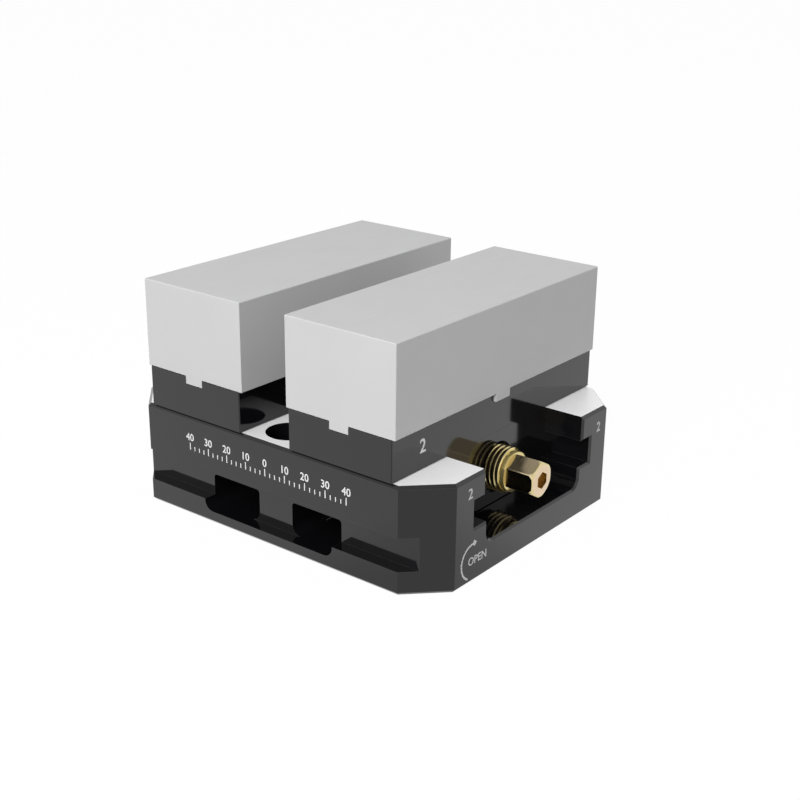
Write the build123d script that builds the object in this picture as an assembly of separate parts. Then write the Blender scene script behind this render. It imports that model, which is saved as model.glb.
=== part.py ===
from build123d import *
import os

# Self-centering vise, in millimetres.
# X runs along the spindle, Y across the jaws and Z is up.
# The origin is the centre of the body's bottom face.

# Body block
body_length = 156.0
body_width = 130.0
body_height = 42.2
corner_cut = 14.6
body_edge_break = 1.2

# Channel that guides the jaws, from the open neck down to the trough
neck_width = 65.6
groove_width = 78.4
groove_bottom = 21.2
groove_top = 32.0
trough_width = 62.4
trough_floor = 13.0
trough_corner_radius = 4.0
channel_edge_break = 0.8

# Clamping slots along the two long sides
slot_depth = 5.5
slot_bottom = 9.5
slot_top = 22.5

# Chip windows on both sides of a pillar, in each long side
windows_span = 66.0
pillar_width = 17.0
window_sill = 5.0
window_top = 18.2
window_foot_radius = 4.0
window_head_radius = 1.5
window_reach = 6.0

# Fixing holes, straight down through the rails
fixing_hole_inset = 13.7
fixing_hole_radius = 5.5
fixing_head_radius = 9.0
fixing_seat_height = 24.6

# Pull-stud holes and locating bore in the underside
stud_pitch = 96.0
stud_thread_radius = 5.1
stud_thread_depth = 20.0
stud_seat_radius = 8.0
stud_seat_depth = 5.0
locating_bore_radius = 12.5
locating_bore_depth = 5.0

# Spindle, with a right-hand thread on the right and a left-hand one on the left
spindle_height = 27.5
thread_radius = 9.0
thread_chamfer = 1.2
shank_radius = 7.6
shank_length = 4.0
drive_proud = 2.8
drive_flats = 13.0
drive_length = 10.7
drive_corner_radius = 7.4
drive_chamfer = 0.8
drive_socket_flats = 6.0
drive_socket_depth = 6.0
flange_radius = 11.5
flange_width = 6.0

# Split bearing that holds the spindle's flange in the middle of the body
bearing_length = 17.0
cap_width = 50.0
cap_drop = 3.1
cap_corner_radius = 4.0
washer_thickness = 1.5

# Base jaws and their T-shaped stems
jaw_gap = 22.4
base_plate_thickness = 16.25
base_plate_setback = 1.25
base_edge_break = 0.4
stem_setback = 0.2
stem_stop_gap = 1.3
bore_chamfer = 1.2
key_width = 9.0
key_depth = 3.0

# Soft jaws
soft_jaw_length = 50.6
soft_jaw_side_step = 0.2
soft_jaw_height = 35.1
soft_edge_break = 0.3

# Socket head screws under each soft jaw and under the bearing
screw_radius = 4.0
screw_head_radius = 6.5
screw_head_height = 8.0
screw_hex_flats = 6.0
screw_hex_depth = 4.0
jaw_screw_pitch_x = 29.0
jaw_screw_inset = 17.0
jaw_screw_length = 20.0
block_screw_pitch = 49.0
block_screw_length = 16.0

# Socket head screws of the bearing cap
cap_screw_radius = 3.0
cap_screw_head_radius = 5.0
cap_screw_head_height = 6.0
cap_screw_hex_flats = 5.0
cap_screw_hex_depth = 3.0
cap_screw_pitch = 35.0
cap_screw_length = 14.0

# Dowels between bearing block and body
dowel_radius = 3.0
dowel_pitch = 28.0
dowel_body_depth = 6.0
dowel_block_depth = 4.0

# Clearances
side_gap = 0.1
rail_gap = 0.05
floor_gap = 0.4
running_gap = 0.05
washer_gap = 0.05
washer_bore_gap = 0.15
flange_gap = 0.3
key_side_gap = 0.05
key_floor_gap = 0.1
thread_gap = 0.05
dowel_gap = 0.02
screw_hole_gap = 0.3
screw_head_gap = 0.5
screw_head_sink = 0.5
screw_tip_gap = 1.0
through = 1.0

# Places that several pieces share
drive_tip = body_length / 2 + drive_proud
drive_start = drive_tip - drive_length
thread_end = drive_start - shank_length
bearing_half = bearing_length / 2
flange_half = flange_width / 2
pocket_half = flange_half + washer_thickness + 2 * washer_gap
pocket_radius = flange_radius + flange_gap
bearing_bore_radius = thread_radius + running_gap
cap_top = body_height - cap_drop
jaw_centre = jaw_gap / 2 + soft_jaw_length / 2
plate_inner = jaw_gap / 2 + base_plate_setback
plate_outer = jaw_gap / 2 + soft_jaw_length - base_plate_setback
plate_bottom = body_height + rail_gap
plate_top = plate_bottom + base_plate_thickness
stem_inner = jaw_gap / 2 + bearing_half + stem_stop_gap
stem_outer = plate_outer - stem_setback
jaw_screw_seat = plate_bottom + screw_head_sink + screw_head_height
block_screw_seat = screw_head_sink + screw_head_height
cap_screw_seat = cap_top - screw_head_sink - cap_screw_head_height
jaw_screw_y = body_width / 2 - jaw_screw_inset
fixing_hole_y = body_width / 2 - fixing_hole_inset
sides = {"left": -1, "right": 1}
faces = {"front": -1, "back": 1}


def block(x_range, y_range, z_range):
    """A box between two limits on each axis."""
    size = (x_range[1] - x_range[0], y_range[1] - y_range[0], z_range[1] - z_range[0])
    centre = (sum(x_range) / 2, sum(y_range) / 2, sum(z_range) / 2)
    return Pos(*centre) * Box(*size)


def post(radius, bottom, top, x=0.0, y=0.0):
    """An upright cylinder between two heights."""
    return Pos(x, y, (bottom + top) / 2) * Cylinder(radius, top - bottom)


def bar(radius, start, end, end_chamfer=0.0):
    """A round bar on the spindle's axis, between two stations along X."""
    round_bar = Cylinder(radius, end - start)
    if end_chamfer:
        round_bar = chamfer(round_bar.edges().filter_by(GeomType.CIRCLE), end_chamfer)
    return Pos((start + end) / 2, 0, spindle_height) * Rot(Y=90) * round_bar


def hexagon_bar(flats, start, end):
    """A hexagon bar on the spindle's axis, one corner up."""
    outline = RegularPolygon(flats / 2, 6, major_radius=False, rotation=30)
    return Pos(start, 0, spindle_height) * extrude(Plane.YZ * outline, end - start)


def bore_mouth(x, direction):
    """The cone that breaks the edge of a jaw's bore at one end."""
    small = thread_radius + running_gap
    cone = Cone(small, small + bore_chamfer, bore_chamfer)
    turn = Rot(Y=90 * direction)
    return Pos(x - direction * bore_chamfer / 2, 0, spindle_height) * turn * cone


def channel_section(side_clearance, floor_clearance, top):
    """The neck, T-grooves and trough, seen along X, less a clearance all round."""
    neck = Pos(0, (groove_bottom + top) / 2)
    neck *= Rectangle(neck_width - 2 * side_clearance, top - groove_bottom)
    low = groove_bottom + side_clearance
    high = groove_top - side_clearance
    ears = Pos(0, (low + high) / 2) * Rectangle(groove_width - 2 * side_clearance, high - low)
    floor = trough_floor + floor_clearance
    trough = Pos(0, (floor + high) / 2)
    trough *= Rectangle(trough_width - 2 * side_clearance, high - floor)
    trough = fillet(trough.vertices().group_by(Axis.Y)[0], trough_corner_radius)
    return neck + ears + trough


def along_channel(section, start, end):
    """A section in the YZ plane, pulled along X."""
    return Pos(start, 0, 0) * extrude(Plane.YZ * section, end - start)


def window_outline(inner, outer, top, head_radius):
    """One window as seen from the side, with rounded lower corners."""
    outline = Pos((inner + outer) / 2, (window_sill + top) / 2)
    outline *= Rectangle(outer - inner, top - window_sill)
    rows = outline.vertices().group_by(Axis.Y)
    outline = fillet(rows[0], window_foot_radius)
    if head_radius:
        outline = fillet(outline.vertices().group_by(Axis.Y)[-1], head_radius)
    return outline


def through_side(outline, near, far):
    """An outline in the XZ plane, pulled along Y between two depths."""
    return Pos(0, near, 0) * extrude(Plane.XZ * outline, near - far)


def side_cuts():
    """The clamping slot, the lowered lip and the two windows of the back side."""
    face = body_width / 2
    slot_wall = face - slot_depth
    half_length = body_length / 2 + through
    cuts = block((-half_length, half_length), (slot_wall, face + through), (slot_bottom, slot_top))
    lip = window_outline(-windows_span / 2, windows_span / 2, slot_top, 0)
    cuts += through_side(lip, face + through, slot_wall)
    reach = trough_width / 2 - window_reach
    for side in sides.values():
        ends = sorted((side * pillar_width / 2, side * windows_span / 2))
        window = window_outline(*ends, window_top, window_head_radius)
        cuts += through_side(window, slot_wall + through, reach)
    return cuts


def channel_mouths(body):
    """The edges where the channel opens in the two end faces."""
    ends = body.faces().filter_by(Axis.X).sort_by(Axis.X)
    rims = ends[0].edges() + ends[-1].edges()
    top = body_height - body_edge_break
    above_floor = rims.filter_by(lambda edge: trough_floor / 2 < edge.center().Z < top)
    return above_floor.filter_by(lambda edge: abs(edge.center().Y) < body_width / 2 - corner_cut)


def vise_body():
    """The body block with its channel, slots, windows and holes."""
    body = block((-body_length / 2, body_length / 2), (-body_width / 2, body_width / 2), (0, body_height))
    body = chamfer(body.edges().filter_by(Axis.Z), corner_cut)
    rims = body.faces().filter_by(Axis.Z).edges()
    body = chamfer(rims, body_edge_break)
    channel = channel_section(0, 0, body_height + through)
    body -= along_channel(channel, -body_length / 2 - through, body_length / 2 + through)
    body = chamfer(channel_mouths(body), channel_edge_break)
    cuts = side_cuts()
    body -= cuts
    body -= mirror(cuts, about=Plane.XZ)
    body -= post(locating_bore_radius, -through, locating_bore_depth)
    for face in faces.values():
        y = face * fixing_hole_y
        body -= post(fixing_hole_radius, -through, body_height, y=y)
        body -= post(fixing_head_radius, fixing_seat_height, body_height + through, y=y)
        y = face * block_screw_pitch / 2
        body -= post(screw_radius + screw_hole_gap, 0, trough_floor + through, y=y)
        body -= post(screw_head_radius + screw_head_gap, -through, block_screw_seat, y=y)
        y = face * dowel_pitch / 2
        hole_floor = trough_floor - dowel_body_depth
        body -= post(dowel_radius + dowel_gap, hole_floor, trough_floor + through, y=y)
        for side in sides.values():
            stud = (side * stud_pitch / 2, face * stud_pitch / 2)
            body -= post(stud_thread_radius, -through, stud_thread_depth, *stud)
            body -= post(stud_seat_radius, -through, stud_seat_depth, *stud)
    return body


def bearing_cavity():
    """The room that the spindle and its two washers take in the bearing."""
    journals = bar(bearing_bore_radius, -bearing_half - through, bearing_half + through)
    return journals + bar(pocket_radius, -pocket_half, pocket_half)


def bearing_block():
    """The lower half of the bearing, seated on the trough's floor."""
    half_width = trough_width / 2 - side_gap
    lower = block((-bearing_half, bearing_half), (-half_width, half_width), (trough_floor, spindle_height))
    feet = lower.edges().filter_by(Axis.X).group_by(Axis.Z)[0]
    lower = fillet(feet, trough_corner_radius)
    lower -= bearing_cavity()
    for face in faces.values():
        tip = block_screw_seat + block_screw_length + screw_tip_gap
        y = face * block_screw_pitch / 2
        lower -= post(screw_radius + thread_gap, trough_floor - through, tip, y=y)
        tip = cap_screw_seat - cap_screw_length - screw_tip_gap
        y = face * cap_screw_pitch / 2
        lower -= post(cap_screw_radius + thread_gap, tip, spindle_height + through, y=y)
        y = face * dowel_pitch / 2
        dowel_top = trough_floor + dowel_block_depth
        lower -= post(dowel_radius + dowel_gap, trough_floor - through, dowel_top, y=y)
    return lower


def bearing_cap():
    """The upper half of the bearing, screwed down on the block."""
    cap = block((-bearing_half, bearing_half), (-cap_width / 2, cap_width / 2), (spindle_height, cap_top))
    shoulders = cap.edges().filter_by(Axis.X).group_by(Axis.Z)[-1]
    cap = fillet(shoulders, cap_corner_radius)
    cap -= bearing_cavity()
    for face in faces.values():
        y = face * cap_screw_pitch / 2
        cap -= post(cap_screw_radius + screw_hole_gap, spindle_height - through, cap_top, y=y)
        head_hole = cap_screw_head_radius + screw_head_gap
        cap -= post(head_hole, cap_screw_seat, cap_top + through, y=y)
    return cap


def thrust_washer():
    """A flat ring between the spindle's flange and the right side of the pocket."""
    start = flange_half + washer_gap
    end = start + washer_thickness
    bore = bar(thread_radius + washer_bore_gap, start - through, end + through)
    return bar(flange_radius, start, end) - bore


def spindle():
    """The spindle with its middle flange, and its hexagon drive on the right."""
    screw = bar(thread_radius, -thread_end, thread_end, thread_chamfer)
    screw += bar(flange_radius, -flange_half, flange_half)
    screw += bar(shank_radius, thread_end - through, drive_start)
    envelope = bar(drive_corner_radius, drive_start - drive_chamfer, drive_tip, drive_chamfer)
    screw += hexagon_bar(drive_flats, drive_start, drive_tip) & envelope
    return screw - hexagon_bar(drive_socket_flats, drive_tip - drive_socket_depth, drive_tip + through)


def jaw_screw_places():
    """Where the right soft jaw's screws stand."""
    places = {}
    for face_name, face in faces.items():
        for row_name, row in {"inner": -1, "outer": 1}.items():
            x = jaw_centre + row * jaw_screw_pitch_x / 2
            places[f"{face_name}_{row_name}"] = (x, face * jaw_screw_y)
    return places


def key_cross(width, depth, half_length, half_width):
    """Two crossing ribs below the joint of the right soft jaw and base jaw."""
    span_z = (plate_top - depth, plate_top)
    rib_x = block((jaw_centre - half_length, jaw_centre + half_length), (-width / 2, width / 2), span_z)
    rib_y = block((jaw_centre - width / 2, jaw_centre + width / 2), (-half_width, half_width), span_z)
    return rib_x + rib_y


def base_jaw():
    """The right base jaw: a plate on the rails and a stem in the channel."""
    plate = block((plate_inner, plate_outer), (-body_width / 2, body_width / 2), (plate_bottom, plate_top))
    plate = chamfer(plate.faces().sort_by(Axis.Z)[0].edges(), base_edge_break)
    plate = chamfer(plate.edges().filter_by(Axis.Z), base_edge_break)
    stem = channel_section(side_gap, floor_gap, plate_bottom + base_edge_break)
    jaw = plate + along_channel(stem, stem_inner, stem_outer)
    jaw -= bar(thread_radius + running_gap, stem_inner - through, stem_outer + through)
    jaw -= bore_mouth(stem_inner, -1)
    jaw -= bore_mouth(stem_outer, 1)
    half_length = (plate_outer - plate_inner) / 2 + through
    jaw -= key_cross(key_width, key_depth, half_length, body_width / 2 + through)
    for x, y in jaw_screw_places().values():
        jaw -= post(screw_radius + screw_hole_gap, plate_bottom, plate_top + through, x, y)
        jaw -= post(screw_head_radius + screw_head_gap, plate_bottom - through, jaw_screw_seat, x, y)
    return jaw


def soft_jaw():
    """The right soft jaw with the cross rib that locates it."""
    ends = (jaw_gap / 2, jaw_gap / 2 + soft_jaw_length)
    half_width = body_width / 2 - soft_jaw_side_step
    jaw = block(ends, (-half_width, half_width), (plate_top, plate_top + soft_jaw_height))
    jaw = chamfer(jaw.edges(), soft_edge_break)
    rib_width = key_width - 2 * key_side_gap
    rib_depth = key_depth - key_floor_gap
    overlap = Pos(0, 0, soft_edge_break)
    rib = key_cross(rib_width, rib_depth, soft_jaw_length / 2, half_width)
    jaw += rib + overlap * rib
    for x, y in jaw_screw_places().values():
        tip = jaw_screw_seat + jaw_screw_length + screw_tip_gap
        jaw -= post(screw_radius + thread_gap, plate_top - through, tip, x, y)
    return jaw


def socket_screw(radius, length, head_radius, head_height, hex_flats, hex_depth):
    """A socket head screw with its head above the origin and its shank below."""
    head = Pos(0, 0, head_height / 2) * Cylinder(head_radius, head_height)
    shank = Pos(0, 0, -length / 2) * Cylinder(radius, length)
    socket = extrude(RegularPolygon(hex_flats / 2, 6, major_radius=False), hex_depth)
    return head + shank - Pos(0, 0, head_height - hex_depth) * socket


def large_screw(length):
    """A screw of the size used under the jaws and under the bearing."""
    return socket_screw(
        screw_radius, length, screw_head_radius, screw_head_height, screw_hex_flats, screw_hex_depth
    )


def small_screw():
    """A screw of the bearing cap."""
    return socket_screw(
        cap_screw_radius,
        cap_screw_length,
        cap_screw_head_radius,
        cap_screw_head_height,
        cap_screw_hex_flats,
        cap_screw_hex_depth,
    )


def pieces():
    """Every piece of the vise under its own name."""
    made = {
        "vise_body": vise_body(),
        "bearing_block": bearing_block(),
        "bearing_cap": bearing_cap(),
        "spindle": spindle(),
    }
    for name, face in faces.items():
        up = Pos(0, face * block_screw_pitch / 2, block_screw_seat) * Rot(X=180)
        made[f"block_screw_{name}"] = up * large_screw(block_screw_length)
        down = Pos(0, face * cap_screw_pitch / 2, cap_screw_seat)
        made[f"cap_screw_{name}"] = down * small_screw()
        low = trough_floor - dowel_body_depth
        high = trough_floor + dowel_block_depth
        made[f"bearing_dowel_{name}"] = post(dowel_radius, low, high, y=face * dowel_pitch / 2)
    right = {"thrust_washer": thrust_washer(), "base_jaw": base_jaw(), "soft_jaw": soft_jaw()}
    for name, (x, y) in jaw_screw_places().items():
        up = Pos(x, y, jaw_screw_seat) * Rot(X=180)
        right[f"jaw_screw_{name}"] = up * large_screw(jaw_screw_length)
    for name, piece in right.items():
        made[f"{name}_right"] = piece
        made[f"{name}_left"] = mirror(piece, about=Plane.YZ)
    return made


os.makedirs("parts", exist_ok=True)
for node, piece in pieces().items():
    export_step(piece, f"parts/{node}.step")
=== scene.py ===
import math

import bmesh
import bpy
from mathutils import Matrix, Vector


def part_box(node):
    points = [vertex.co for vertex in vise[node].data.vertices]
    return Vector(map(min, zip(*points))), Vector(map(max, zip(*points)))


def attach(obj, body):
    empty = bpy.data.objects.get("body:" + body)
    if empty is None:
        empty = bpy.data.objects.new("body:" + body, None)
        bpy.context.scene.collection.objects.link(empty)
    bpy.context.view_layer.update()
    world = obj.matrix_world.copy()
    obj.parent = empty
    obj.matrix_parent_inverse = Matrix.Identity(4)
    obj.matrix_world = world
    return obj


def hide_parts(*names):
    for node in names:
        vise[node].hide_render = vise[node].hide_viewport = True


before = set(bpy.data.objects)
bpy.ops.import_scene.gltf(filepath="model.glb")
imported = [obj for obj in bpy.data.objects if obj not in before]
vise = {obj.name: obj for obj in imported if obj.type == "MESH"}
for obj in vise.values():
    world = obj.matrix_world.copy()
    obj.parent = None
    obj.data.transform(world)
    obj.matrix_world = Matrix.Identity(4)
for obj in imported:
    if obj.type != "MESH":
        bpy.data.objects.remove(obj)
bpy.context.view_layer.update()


# Vise body: a block of tool steel, milled all over, blackened, and then ground bright on
# the two rails that the jaws slide on. The black is a thin glossy oxide, so the faces
# mirror what stands around them.
def new_finish(name):
    """A material with its shader, and a reader of places on the piece."""
    made = bpy.data.materials.new(name)
    made.use_nodes = True
    shader = made.node_tree.nodes["Principled BSDF"]
    place = made.node_tree.nodes.new("ShaderNodeTexCoord")
    return made, shader, place.outputs["Object"]


def add_node(finish, kind, **settings):
    """A new node of the finish, with the settings that are named."""
    node = finish.node_tree.nodes.new(kind)
    for key, value in settings.items():
        setattr(node, key, value)
    return node


def grain(finish, place, size, stretch=(1, 1, 1), detail=3.0, rough=0.5):
    """A noise whose spots are about that many millimetres wide."""
    mapping = add_node(finish, "ShaderNodeMapping")
    mapping.inputs["Scale"].default_value = stretch
    noise = add_node(finish, "ShaderNodeTexNoise")
    noise.inputs["Scale"].default_value = 1000.0 / size
    noise.inputs["Detail"].default_value = detail
    noise.inputs["Roughness"].default_value = rough
    finish.node_tree.links.new(place, mapping.inputs["Vector"])
    finish.node_tree.links.new(mapping.outputs["Vector"], noise.inputs["Vector"])
    return noise.outputs["Fac"]


def spread(finish, value, low, high, from_low=0.3, from_high=0.7, ease="LINEAR"):
    """A value stretched to run between two others."""
    node = add_node(finish, "ShaderNodeMapRange", interpolation_type=ease)
    node.inputs["From Min"].default_value = from_low
    node.inputs["From Max"].default_value = from_high
    node.inputs["To Min"].default_value = low
    node.inputs["To Max"].default_value = high
    finish.node_tree.links.new(value, node.inputs["Value"])
    return node.outputs["Result"]


def sums(finish, operation, a, b):
    """Two values put together, each a socket or a number."""
    node = add_node(finish, "ShaderNodeMath", operation=operation)
    for socket, value in zip(node.inputs, (a, b)):
        if isinstance(value, (int, float)):
            socket.default_value = value
        else:
            finish.node_tree.links.new(value, socket)
    return node.outputs["Value"]


def blend_colour(finish, share, low, high):
    """A colour between two others, each a socket or a colour."""
    node = add_node(finish, "ShaderNodeMix", data_type="RGBA")
    finish.node_tree.links.new(share, node.inputs["Factor"])
    for socket, value in ((node.inputs[6], low), (node.inputs[7], high)):
        if isinstance(value, tuple):
            socket.default_value = (*value, 1.0)
        else:
            finish.node_tree.links.new(value, socket)
    return node.outputs[2]


def relief(finish, shader, height, depth, before=None):
    """A bump of that many millimetres, laid over another."""
    node = add_node(finish, "ShaderNodeBump")
    node.inputs["Strength"].default_value = 1.0
    node.inputs["Distance"].default_value = depth / 1000.0
    finish.node_tree.links.new(height, node.inputs["Height"])
    if before is not None:
        finish.node_tree.links.new(before, node.inputs["Normal"])
    finish.node_tree.links.new(node.outputs["Normal"], shader.inputs["Normal"])
    return node.outputs["Normal"]


def rubbed_edges(finish, reach):
    """How much of the surface near an edge is rubbed, from 0 to 1."""
    soft = add_node(finish, "ShaderNodeBevel", samples=4)
    soft.inputs["Radius"].default_value = reach / 1000.0
    true = add_node(finish, "ShaderNodeNewGeometry")
    turn = add_node(finish, "ShaderNodeVectorMath", operation="DOT_PRODUCT")
    finish.node_tree.links.new(soft.outputs["Normal"], turn.inputs[0])
    finish.node_tree.links.new(true.outputs["True Normal"], turn.inputs[1])
    return spread(finish, turn.outputs["Value"], 1.0, 0.0, 0.90, 0.995)


def dress(node_name, finish):
    """Gives a CAD node its finish, in each of its slots."""
    piece = vise[node_name]
    if not piece.material_slots:
        piece.data.materials.append(finish)
    for slot in piece.material_slots:
        slot.material = finish


def black_oxide(name, gloss_index, rail_height=None):
    """Blackened milled steel; above the rail height, faces that look up are ground bright."""
    finish, shader, place = new_finish(name)
    link = finish.node_tree.links.new
    cloud = grain(finish, place, 14.0)
    fine = grain(finish, place, 0.35, detail=2.0)
    rubbed = rubbed_edges(finish, 0.35)
    worn = sums(finish, "MULTIPLY", rubbed, spread(finish, grain(finish, place, 2.5), 0.15, 0.6))
    colour = blend_colour(finish, cloud, (0.0025, 0.0025, 0.003), (0.005, 0.005, 0.006))
    colour = blend_colour(finish, worn, colour, (0.05, 0.05, 0.053))
    gloss = spread(finish, cloud, 0.06, 0.10)
    shader.inputs["IOR"].default_value = gloss_index
    if rail_height is not None:
        apart = add_node(finish, "ShaderNodeSeparateXYZ")
        link(place, apart.inputs["Vector"])
        high = sums(finish, "GREATER_THAN", apart.outputs["Z"], rail_height - 0.00003)
        true = add_node(finish, "ShaderNodeNewGeometry")
        facing = add_node(finish, "ShaderNodeSeparateXYZ")
        link(true.outputs["True Normal"], facing.inputs["Vector"])
        ground = sums(finish, "MULTIPLY", high, sums(finish, "GREATER_THAN", facing.outputs["Z"], 0.9))
        lines = grain(finish, place, 0.9, stretch=(0.03, 1.0, 1.0), detail=4.0)
        bright = blend_colour(finish, lines, (0.92, 0.92, 0.93), (0.97, 0.97, 0.975))
        colour = blend_colour(finish, ground, colour, bright)
        rough = add_node(finish, "ShaderNodeMix")
        link(ground, rough.inputs["Factor"])
        link(gloss, rough.inputs[2])
        link(spread(finish, lines, 0.42, 0.50), rough.inputs[3])
        gloss = rough.outputs[0]
        link(sums(finish, "MULTIPLY", ground, 0.15), shader.inputs["Metallic"])
    link(colour, shader.inputs["Base Color"])
    link(gloss, shader.inputs["Roughness"])
    relief(finish, shader, fine, 0.0005)
    return finish


body_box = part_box("vise_body")
dress("vise_body", black_oxide("body_black_oxide", 1.58, body_box[1][2]))


# Bearing block and bearing cap: the two blackened halves that hold the spindle's flange in
# the middle of the channel, with socket head screws, dowels and bronze washers.
bearing_black = black_oxide("bearing_black_oxide", 1.60)
dress("bearing_block", bearing_black)
dress("bearing_cap", bearing_black)


def turned_metal(name, dark, light, rough, spot):
    """A turned or rolled metal, mottled between two colours."""
    finish, shader, place = new_finish(name)
    link = finish.node_tree.links.new
    cloud = grain(finish, place, spot)
    fine = grain(finish, place, 0.25, detail=2.0)
    worn = sums(finish, "MULTIPLY", rubbed_edges(finish, 0.2), 0.5)
    colour = blend_colour(finish, cloud, dark, light)
    link(blend_colour(finish, worn, colour, light), shader.inputs["Base Color"])
    link(spread(finish, cloud, rough, rough + 0.12), shader.inputs["Roughness"])
    shader.inputs["Metallic"].default_value = 1.0
    relief(finish, shader, fine, 0.002)
    return finish


washer_bronze = turned_metal("washer_bronze", (0.42, 0.25, 0.10), (0.62, 0.40, 0.17), 0.28, 3.0)
dowel_steel = turned_metal("dowel_steel", (0.48, 0.48, 0.50), (0.66, 0.66, 0.67), 0.2, 2.0)
screw_steel = turned_metal("screw_steel", (0.04, 0.04, 0.043), (0.10, 0.10, 0.105), 0.3, 2.0)
for side in ("left", "right"):
    dress(f"thrust_washer_{side}", washer_bronze)
for face in ("front", "back"):
    dress(f"bearing_dowel_{face}", dowel_steel)
    dress(f"block_screw_{face}", screw_steel)
    dress(f"cap_screw_{face}", screw_steel)


# Spindle: one steel bar with a left-hand thread on the left, a right-hand thread on the
# right, a flange between them and a hexagon drive at the right end. It is coated a hard
# gold colour after grinding, and the drive's end is rubbed bright by the wrench.
spindle_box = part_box("spindle")
axis_height = (spindle_box[0][2] + spindle_box[1][2]) / 2
flange_radius = 0.0115
flange_width = 0.0060
flange_edge = 0.0003
drive_tip = spindle_box[1][0]
drive_length = 0.0120
drive_start = drive_tip - drive_length
drive_flats = 0.0130
drive_corner_radius = 0.0074
drive_tip_edge = 0.0019
socket_flats = 0.0060
socket_depth = 0.0060
collar_length = 0.0020
collar_radius = 0.0080
collar_edge = 0.0004
thread_end = drive_start - collar_length
thread_end_cone = 0.0009
thread_radius = 0.0090
thread_pitch = 0.0020
thread_depth = 0.0011
overlap = 0.0020
bar_sides = 96
merge_distance = 0.00001


def spindle_gold():
    """The gold coating, with painted shade in the thread's roots that fades out up the flanks to the
    crests, and tan on the drive.
    """
    finish, shader, place = new_finish("spindle_gold_coating")
    link = finish.node_tree.links.new
    cloud = grain(finish, place, 5.0)
    turned = grain(finish, place, 0.5, stretch=(1.0, 0.05, 0.05), detail=3.0)
    apart = add_node(finish, "ShaderNodeSeparateXYZ")
    link(place, apart.inputs["Vector"])
    along = apart.outputs["X"]
    up = sums(finish, "SUBTRACT", apart.outputs["Z"], axis_height)
    across = sums(finish, "MULTIPLY", apart.outputs["Y"], apart.outputs["Y"])
    radius = sums(finish, "SQRT", sums(finish, "ADD", across, sums(finish, "MULTIPLY", up, up)), 0.0)
    # Painted shade: along the thread the gold turns near-black in the roots and fades back to gold up
    # the flanks, where the valleys fall in shade.
    on_thread = sums(finish, "LESS_THAN", along, thread_end - 0.0008)
    root = thread_radius - thread_depth
    root_shade_share = spread(finish, radius, 1.0, 0.0, root + 0.0004, thread_radius)
    painted_root_shade = sums(finish, "MULTIPLY", root_shade_share, on_thread)
    tan = blend_colour(finish, cloud, (0.72, 0.58, 0.36), (0.80, 0.66, 0.43))
    gold = blend_colour(finish, cloud, (0.78, 0.64, 0.27), (0.90, 0.77, 0.40))
    gold = blend_colour(finish, painted_root_shade, gold, (0.05, 0.03, 0.008))
    for start, end, colour in (
        (thread_end - 0.0006, thread_end - 0.0002, (0.70, 0.56, 0.20)),
        (drive_start - 0.0001, drive_start + 0.0006, tan),
        (drive_tip - 0.0018, drive_tip - 0.0010, (0.72, 0.60, 0.32)),
        (drive_tip - 0.0003, drive_tip - 0.0001, (0.74, 0.58, 0.40)),
    ):
        gold = blend_colour(finish, spread(finish, along, 0.0, 1.0, start, end), gold, colour)
    worn = sums(finish, "MULTIPLY", rubbed_edges(finish, 0.25), 0.6)
    link(blend_colour(finish, worn, gold, (0.95, 0.84, 0.60)), shader.inputs["Base Color"])
    link(spread(finish, turned, 0.12, 0.22), shader.inputs["Roughness"])
    collar = spread(finish, along, 0.95, 0.85, thread_end - 0.0004, thread_end)
    flats = spread(finish, along, 0.0, 0.15, drive_start - 0.0001, drive_start + 0.0002)
    link(sums(finish, "ADD", collar, flats), shader.inputs["Metallic"])
    relief(finish, shader, turned, 0.0008)
    return finish


def deselect_all():
    """Nothing stays selected, in object mode."""
    if bpy.context.object and bpy.context.object.mode != "OBJECT":
        bpy.ops.object.mode_set(mode="OBJECT")
    bpy.ops.object.select_all(action="DESELECT")


def only(piece):
    """Selects this piece alone and makes it the active one."""
    deselect_all()
    piece.hide_set(False)
    piece.select_set(True)
    bpy.context.view_layer.objects.active = piece


def added(name):
    """Names the primitive that was just added and settles its place in its mesh."""
    piece = bpy.context.object
    piece.name = name
    piece.data.name = name
    bpy.ops.object.transform_apply(location=True, rotation=True, scale=True)
    return piece


def select_faces(piece, wanted):
    """Opens a piece for editing with only the faces selected that pass a test."""
    only(piece)
    bpy.ops.object.mode_set(mode="EDIT")
    bpy.ops.mesh.select_mode(type="FACE")
    shape = bmesh.from_edit_mesh(piece.data)
    for face in shape.faces:
        face.select = wanted(face)
    shape.select_flush_mode()
    bmesh.update_edit_mesh(piece.data)


def apply_all(piece):
    """Applies every modifier of a piece."""
    only(piece)
    for step in [m.name for m in piece.modifiers]:
        bpy.ops.object.modifier_apply(modifier=step)


def join(pieces, name):
    """Makes one object of several."""
    deselect_all()
    for piece in pieces:
        piece.select_set(True)
    bpy.context.view_layer.objects.active = pieces[0]
    bpy.ops.object.join()
    bpy.context.object.name = name
    bpy.context.object.data.name = name
    return bpy.context.object


def cut_with(piece, tool, operation):
    """Cuts a piece with another one, which is used up."""
    step = piece.modifiers.new("cut", "BOOLEAN")
    step.operation = operation
    step.solver = "EXACT"
    step.object = tool
    apply_all(piece)
    bpy.data.objects.remove(tool)
    return piece


def round_bar(name, radius, start, end, edge=0.0):
    """A turned length of the spindle, with both its edges broken."""
    deselect_all()
    bpy.ops.mesh.primitive_cylinder_add(
        vertices=bar_sides, radius=radius, depth=end - start,
        location=((start + end) / 2, 0, axis_height), rotation=(0, math.pi / 2, 0),
    )
    bar = added(name)
    if edge:
        select_faces(bar, lambda face: abs(face.normal.x) > 0.9)
        bpy.ops.mesh.region_to_loop()
        bpy.ops.mesh.bevel(offset=edge, segments=2, profile=0.5, affect="EDGES")
        bpy.ops.object.mode_set(mode="OBJECT")
    return bar


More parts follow.
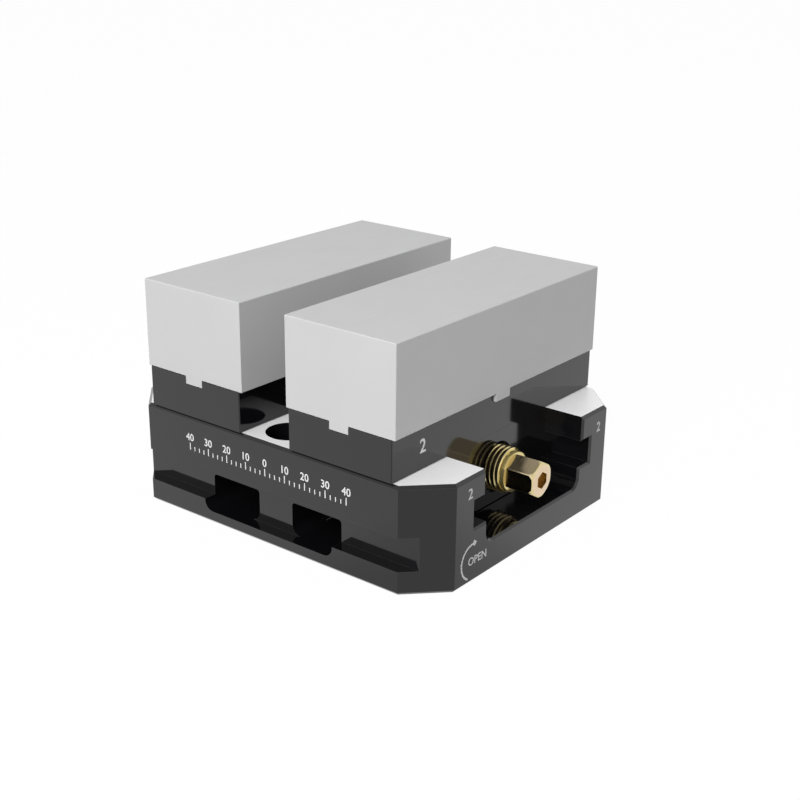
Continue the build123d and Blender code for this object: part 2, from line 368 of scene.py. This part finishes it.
def screw_thread(name, end, hand):
    """One thread of the spindle, wound out of its profile and cut off square at both ends."""
    deselect_all()
    bpy.ops.mesh.primitive_plane_add(size=0.001, location=(0, 0, 0))
    thread = added(name)
    bpy.ops.object.mode_set(mode="EDIT")
    bpy.ops.mesh.select_mode(type="VERT")
    bpy.ops.mesh.select_all(action="SELECT")
    bpy.ops.mesh.merge(type="CENTER")
    bpy.ops.transform.translate(value=(-0.001 * hand, 0, thread_radius - thread_depth - merge_distance))
    root = 0.24 * thread_pitch
    crest = 0.16 * thread_pitch
    flank = 0.3 * thread_pitch
    for run, rise in ((root, 0.0), (flank, thread_depth), (crest, 0.0), (flank, -thread_depth)):
        bpy.ops.mesh.extrude_vertices_move(TRANSFORM_OT_translate={"value": (run * hand, 0, rise)})
    bpy.ops.object.mode_set(mode="OBJECT")
    wind = thread.modifiers.new("wind", "SCREW")
    wind.axis = "X"
    wind.screw_offset = thread_pitch * hand
    wind.angle = 2 * math.pi
    wind.iterations = math.ceil(end / thread_pitch) + 2
    wind.steps = 40
    wind.render_steps = 40
    wind.use_merge_vertices = True
    wind.merge_threshold = merge_distance
    apply_all(thread)
    bpy.ops.object.mode_set(mode="EDIT")
    bpy.ops.mesh.select_all(action="SELECT")
    bpy.ops.mesh.remove_doubles(threshold=merge_distance)
    for place, outward in ((0.0, -hand), (end * hand, hand)):
        bpy.ops.mesh.select_all(action="SELECT")
        bpy.ops.mesh.bisect(
            plane_co=(place, 0, 0), plane_no=(outward, 0, 0), use_fill=True,
            clear_outer=True, clear_inner=False,
        )
    bpy.ops.mesh.select_all(action="SELECT")
    bpy.ops.mesh.normals_make_consistent(inside=False)
    bpy.ops.transform.translate(value=(0, 0, axis_height))
    bpy.ops.object.mode_set(mode="OBJECT")
    return thread


parts = []
shell_length = 0.08
shell_radius = thread_radius + 0.0002
for side, hand in (("right", 1), ("left", -1)):
    thread = screw_thread(f"thread_{side}", thread_end, hand)
    deselect_all()
    bpy.ops.mesh.primitive_cylinder_add(
        vertices=bar_sides, radius=shell_radius, depth=shell_length,
        location=(shell_length / 2 * hand, 0, axis_height), rotation=(0, math.pi / 2, 0),
    )
    shell = added("end_cone")
    select_faces(shell, lambda face: face.normal.x * hand > 0.9)
    bpy.ops.transform.translate(value=((thread_end - shell_length) * hand, 0, 0))
    bpy.ops.mesh.region_to_loop()
    bpy.ops.mesh.bevel(offset=thread_end_cone, segments=1, affect="EDGES")
    bpy.ops.object.mode_set(mode="OBJECT")
    parts.append(cut_with(thread, shell, "INTERSECT"))
parts.append(round_bar("flange", flange_radius, -flange_width / 2, flange_width / 2, flange_edge))
parts.append(round_bar("collar", collar_radius, thread_end - overlap, drive_start, collar_edge))

deselect_all()
bpy.ops.mesh.primitive_cylinder_add(
    vertices=6, radius=drive_flats / 2 / math.cos(math.pi / 6), depth=drive_length + overlap,
    location=(0, 0, -overlap / 2),
)
bpy.ops.transform.rotate(value=math.pi / 6, orient_axis="Z", center_override=(0, 0, 0))
bpy.ops.object.transform_apply(location=True, rotation=True, scale=True)
drive = bpy.context.object
drive.rotation_euler = (0, math.pi / 2, 0)
drive.location = (drive_tip - drive_length / 2, 0, axis_height)
drive = added("drive")
select_faces(drive, lambda face: face.normal.x > 0.9)
bpy.ops.mesh.inset(thickness=(drive_flats - socket_flats) / 2)
bpy.ops.mesh.extrude_region_move(TRANSFORM_OT_translate={"value": (-socket_depth, 0, 0)})
bpy.ops.object.mode_set(mode="OBJECT")
envelope = round_bar("drive_envelope", drive_corner_radius, drive_start - 5 * overlap, drive_tip)
select_faces(envelope, lambda face: face.normal.x > 0.9)
bpy.ops.mesh.region_to_loop()
bpy.ops.mesh.bevel(offset=drive_tip_edge, segments=2, affect="EDGES")
bpy.ops.object.mode_set(mode="OBJECT")
parts.append(cut_with(drive, envelope, "INTERSECT"))

spindle = join(parts, "spindle_with_threads")
only(spindle)
bpy.ops.object.shade_smooth_by_angle(angle=math.radians(28))
spindle.data.materials.clear()
spindle.data.materials.append(spindle_gold())
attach(spindle, "spindle_body")
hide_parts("spindle")


# Base jaws: two blackened steel slides. Each has a plate that runs on the rails, a
# T-shaped stem in the channel with the spindle's nut thread, and a cross of keyways.
jaw_black = black_oxide("jaw_black_oxide", 1.57)
for side in ("left", "right"):
    dress(f"base_jaw_{side}", jaw_black)


# Soft jaws: two plain blocks of aluminium, face-milled to a fine satin, that the user
# machines to the workpiece. Screws from below hold each one down on its cross rib.
def milled_aluminium():
    """Satin aluminium with the faint passes of a face mill."""
    finish, shader, place = new_finish("soft_jaw_aluminium")
    link = finish.node_tree.links.new
    cloud = grain(finish, place, 22.0)
    passes = grain(finish, place, 0.8, stretch=(1.0, 0.04, 1.0), detail=3.0)
    specks = grain(finish, place, 0.18, detail=1.0)
    colour = blend_colour(finish, cloud, (0.505, 0.505, 0.508), (0.535, 0.535, 0.538))
    worn = sums(finish, "MULTIPLY", rubbed_edges(finish, 0.3), 0.6)
    link(blend_colour(finish, worn, colour, (0.64, 0.64, 0.645)), shader.inputs["Base Color"])
    link(spread(finish, passes, 0.38, 0.50), shader.inputs["Roughness"])
    shader.inputs["Metallic"].default_value = 0.1
    first = relief(finish, shader, specks, 0.002)
    relief(finish, shader, passes, 0.001, before=first)
    return finish


soft_aluminium = milled_aluminium()
for side in ("left", "right"):
    dress(f"soft_jaw_{side}", soft_aluminium)
    for face in ("front", "back"):
        for row in ("inner", "outer"):
            dress(f"jaw_screw_{face}_{row}_{side}", screw_steel)


# Marks: plain white paint, printed flat on the black. A scale in millimetres from the
# middle out on the front, an arrow that shows which way the drive opens the jaws, and
# numbers that tell which jaw goes on which side.
paint_thickness = 0.00002
capital_share = 0.7
boldness = 0.02
body_end = body_box[1][0]
body_front = body_box[0][1]


def white_paint():
    """Matt white paint with a faint mottle."""
    finish, shader, place = new_finish("white_marking_paint")
    cloud = grain(finish, place, 1.5)
    colour = blend_colour(finish, cloud, (0.64, 0.64, 0.64), (0.72, 0.72, 0.72))
    finish.node_tree.links.new(colour, shader.inputs["Base Color"])
    finish.node_tree.links.new(spread(finish, cloud, 0.45, 0.6), shader.inputs["Roughness"])
    return finish


def stand_on(piece, name, place, facing):
    """Stands a flat mark up on a face that looks to the right, to the left or to the front."""
    turns = {"right": math.pi / 2, "left": -math.pi / 2, "front": 0.0}
    only(piece)
    piece.rotation_euler = (math.pi / 2, 0, turns[facing])
    piece.location = place
    return added(name)


def printed_word(name, word, height, place, facing):
    """A word or number in plain capitals, centred on its place."""
    deselect_all()
    bpy.ops.object.text_add(location=(0, 0, 0))
    text = bpy.context.object
    text.data.body = word
    text.data.size = height / capital_share
    text.data.extrude = paint_thickness
    text.data.offset = boldness * height
    text.data.align_x = "CENTER"
    text.data.align_y = "CENTER"
    text.data.resolution_u = 4
    bpy.ops.object.convert(target="MESH")
    return stand_on(bpy.context.object, name, place, facing)


def printed_bar(name, width, height, place):
    """A short upright stroke of the front scale."""
    deselect_all()
    bpy.ops.mesh.primitive_cube_add(size=1.0, location=place, scale=(width, 2 * paint_thickness, height))
    return added(name)


def printed_arrow(name, radius, start, sweep, line, place, facing):
    """An arc with an arrowhead at its end, drawn flat and then stood up."""
    steps = 24
    head = 3.2
    end = start + sweep
    hand = 1 if sweep > 0 else -1
    deselect_all()
    square = (line, line, 2 * paint_thickness)
    bpy.ops.mesh.primitive_cube_add(size=1.0, location=(radius, 0, 0), scale=square)
    arrow = added(name)
    bpy.ops.object.mode_set(mode="EDIT")
    bpy.ops.mesh.select_all(action="SELECT")
    bpy.ops.transform.rotate(value=-start, orient_axis="Z", center_override=(0, 0, 0))
    bpy.ops.object.mode_set(mode="OBJECT")
    along = Vector((-math.sin(start), math.cos(start), 0)) * hand
    select_faces(arrow, lambda face: face.normal.dot(along) > 0.9)
    for step in range(steps):
        bpy.ops.mesh.extrude_region_move()
        bpy.ops.transform.rotate(value=-sweep / steps, orient_axis="Z", center_override=(0, 0, 0))
    tip = Vector((math.cos(end), math.sin(end), 0)) * radius
    ahead = Vector((-math.sin(end), math.cos(end), 0)) * hand * head * line
    bpy.ops.mesh.extrude_region_move()
    bpy.ops.transform.resize(value=(head, head, 1.0), center_override=tip)
    bpy.ops.mesh.extrude_region_move()
    bpy.ops.transform.translate(value=ahead)
    bpy.ops.transform.resize(value=(0.05, 0.05, 1.0), center_override=tip + ahead)
    bpy.ops.object.mode_set(mode="OBJECT")
    return stand_on(arrow, name, place, facing)


marking = white_paint()


def paint(piece, body):
    """Gives a mark its paint and lets it ride on a body."""
    piece.data.materials.clear()
    piece.data.materials.append(marking)
    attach(piece, body)


scale_foot = 0.0283
value_middle = 0.0335
value_size = 0.0030
stroke_pitch = 0.0025
stroke_width = 0.00045
long_stroke = 0.0030
short_stroke = 0.0018
strokes_each_way = 16
strokes = []
for step in range(-strokes_each_way, strokes_each_way + 1):
    long_one = step % 4 == 0
    tall = long_stroke if long_one else short_stroke
    x = step * stroke_pitch
    count = step + strokes_each_way
    middle = (x, body_front, scale_foot + tall / 2)
    strokes.append(printed_bar(f"stroke_{count}", stroke_width, tall, middle))
    if long_one:
        value = str(abs(step) * 5 // 2)
        place = (x, body_front, value_middle)
        strokes.append(printed_word(f"value_{count}", value, value_size, place, "front"))
paint(join(strokes, "front_scale"), "base")

word_middle = (body_end, -0.0368, 0.0088)
word_size = 0.0031
paint(printed_word("open_word", "OPEN", word_size, word_middle, "right"), "base")
arc_middle = (body_end, -0.0397, 0.0087)
arc_radius = 0.0069
arc_start = math.radians(-118)
arc_sweep = math.radians(-148)
arc_line = 0.0008
arrow = printed_arrow("open_arrow", arc_radius, arc_start, arc_sweep, arc_line, arc_middle, "right")
paint(arrow, "base")

end_number_size = 0.0040
for face, y, z in (("front", -0.0422, 0.0358), ("back", 0.0448, 0.0346)):
    for side, number, x in (("right", "2", body_end), ("left", "1", -body_end)):
        name = f"{side}_end_number_{face}"
        paint(printed_word(name, number, end_number_size, (x, y, z), side), "base")
jaw_number_size = 0.0052
for side, number, end in (("left", "1", 0), ("right", "2", 1)):
    place = (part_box(f"base_jaw_{side}")[end][0], -0.0475, 0.0511)
    paint(printed_word(f"jaw_number_{side}", number, jaw_number_size, place, side), f"{side}_jaw")


# Floor and room: plain white paper and a white room, which the camera and the gloss see
# as white. The paper keeps the vise's own soft shadow.
def white_paper():
    """Paper that reads as white, and mirrors a little dimmer out from the front right corner."""
    paper = bpy.data.materials.new("white_paper")
    paper.use_nodes = True
    paper.node_tree.nodes.clear()
    link = paper.node_tree.links.new
    seen = add_node(paper, "ShaderNodeLightPath")
    camera_ray = seen.outputs["Is Camera Ray"]
    glossy_ray = seen.outputs["Is Glossy Ray"]
    lit = add_node(paper, "ShaderNodeBsdfDiffuse")
    link(blend_colour(paper, camera_ray, (0.26, 0.26, 0.27), (0.97, 0.97, 0.97)), lit.inputs["Color"])
    place = add_node(paper, "ShaderNodeTexCoord")
    outward = add_node(paper, "ShaderNodeVectorMath", operation="NORMALIZE")
    link(place.outputs["Object"], outward.inputs[0])
    corner_side = add_node(paper, "ShaderNodeVectorMath", operation="DOT_PRODUCT")
    corner_side.inputs[1].default_value = (0.79, -0.61, 0.0)
    link(outward.outputs["Vector"], corner_side.inputs[0])
    dim = spread(paper, corner_side.outputs["Value"], 0.0, 0.28, 0.70, 1.0, "SMOOTHSTEP")
    mirrored_dim = sums(paper, "MULTIPLY", dim, glossy_ray)
    glow = add_node(paper, "ShaderNodeEmission")
    glow.inputs["Color"].default_value = (1.0, 1.0, 1.0, 1.0)
    link(sums(paper, "SUBTRACT", 1.0, mirrored_dim), glow.inputs["Strength"])
    mix = add_node(paper, "ShaderNodeMixShader")
    link(sums(paper, "MULTIPLY", sums(paper, "MAXIMUM", camera_ray, glossy_ray), 0.97), mix.inputs[0])
    link(lit.outputs[0], mix.inputs[1])
    link(glow.outputs[0], mix.inputs[2])
    out = add_node(paper, "ShaderNodeOutputMaterial")
    link(mix.outputs[0], out.inputs["Surface"])
    return paper


deselect_all()
bpy.ops.mesh.primitive_plane_add(size=6.0, location=(0, 0, 0))
floor = added("floor")
floor.data.materials.append(white_paper())


def soft_studio():
    """A white room that lights softly, most from above, with a ceiling that mirrors dimmer."""
    studio = bpy.data.worlds.new("studio")
    studio.use_nodes = True
    studio.node_tree.nodes.clear()
    link = studio.node_tree.links.new
    seen = add_node(studio, "ShaderNodeLightPath")
    camera_ray = seen.outputs["Is Camera Ray"]
    glossy_ray = seen.outputs["Is Glossy Ray"]
    place = add_node(studio, "ShaderNodeTexCoord")
    apart = add_node(studio, "ShaderNodeSeparateXYZ")
    link(place.outputs["Generated"], apart.inputs["Vector"])
    upward = apart.outputs["Z"]
    light = add_node(studio, "ShaderNodeBackground")
    light.inputs["Color"].default_value = (0.97, 0.975, 1.0, 1.0)
    link(spread(studio, upward, 0.22, 0.58, 0.2, 0.9, "SMOOTHSTEP"), light.inputs["Strength"])
    ceiling = spread(studio, upward, 0.0, 0.35, 0.45, 0.75, "SMOOTHSTEP")
    mirrored_dim = sums(studio, "MULTIPLY", ceiling, glossy_ray)
    white = add_node(studio, "ShaderNodeBackground")
    white.inputs["Color"].default_value = (1.0, 1.0, 1.0, 1.0)
    link(sums(studio, "SUBTRACT", 1.0, mirrored_dim), white.inputs["Strength"])
    mix = add_node(studio, "ShaderNodeMixShader")
    link(sums(studio, "MAXIMUM", camera_ray, glossy_ray), mix.inputs[0])
    link(light.outputs[0], mix.inputs[1])
    link(white.outputs[0], mix.inputs[2])
    out = add_node(studio, "ShaderNodeOutputWorld")
    link(mix.outputs[0], out.inputs["Surface"])
    return studio


bpy.context.scene.world = soft_studio()


# Lamp and camera: one wide soft lamp high in front, on the right, that the gloss doesn't
# mirror, and the camera at the place and with the lens of the photograph.
lamp_place = Vector((0.47, -1.30, 0.84))
lamp_aim = Vector((0, 0, 0.045))
lamp = bpy.data.lights.new("front_lamp", "AREA")
lamp.size = 0.9
lamp.energy = 30.5
lamp.color = (1.0, 0.995, 0.98)
stand = bpy.data.objects.new("front_lamp", lamp)
bpy.context.collection.objects.link(stand)
stand.location = lamp_place
stand.rotation_euler = (lamp_aim - lamp_place).to_track_quat("-Z", "Y").to_euler()
stand.visible_glossy = False

lens = bpy.data.cameras.new("camera")
lens.lens = 60.72
lens.sensor_width = 36.0
lens.clip_start = 0.01
camera = bpy.data.objects.new("camera", lens)
bpy.context.collection.objects.link(camera)
right = Vector((0.78243, 0.62265, 0.01055))
up = Vector((-0.22745, 0.26995, 0.93562))
back = Vector((0.57972, -0.73446, 0.35284))
turn = Matrix((right, up, back)).transposed().to_4x4()
camera.matrix_world = Matrix.Translation((0.32513, -0.39596, 0.23332)) @ turn
bpy.context.scene.camera = camera
bpy.context.scene.view_settings.view_transform = "Standard"
